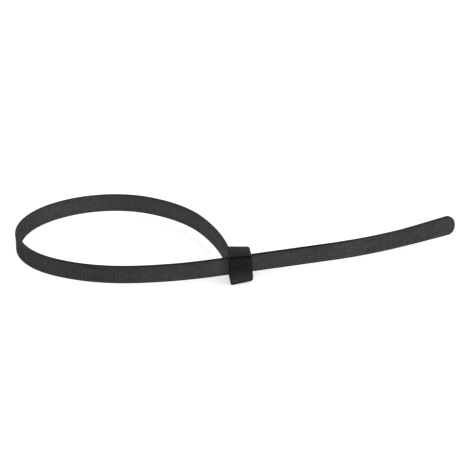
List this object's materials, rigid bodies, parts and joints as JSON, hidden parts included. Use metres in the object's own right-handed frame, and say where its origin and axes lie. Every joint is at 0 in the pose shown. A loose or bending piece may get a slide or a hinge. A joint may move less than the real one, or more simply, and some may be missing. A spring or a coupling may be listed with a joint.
{
  "type": "cable tie",
  "caption": "Self-locking cable tie, moulded whole and drawn into a closed loop: ribbed strap, head with a slot and a pawl, and a free tail with a ribbed grip.",
  "frame": {"origin": "centre of the round end of the loop, half-way across the width of the strap", "axes": "+Z along the axis of the bundle that the loop holds, +X from the round end past the head towards the free tail, +Y towards the side of the loop that is moulded to the head"},
  "size_m": [0.121, 0.0615, 0.0082],
  "materials": {
    "nylon": "satin"
  },
  "bodies": {
    "root": {"cable_tie": "nylon"}
  },
  "joints": []
}
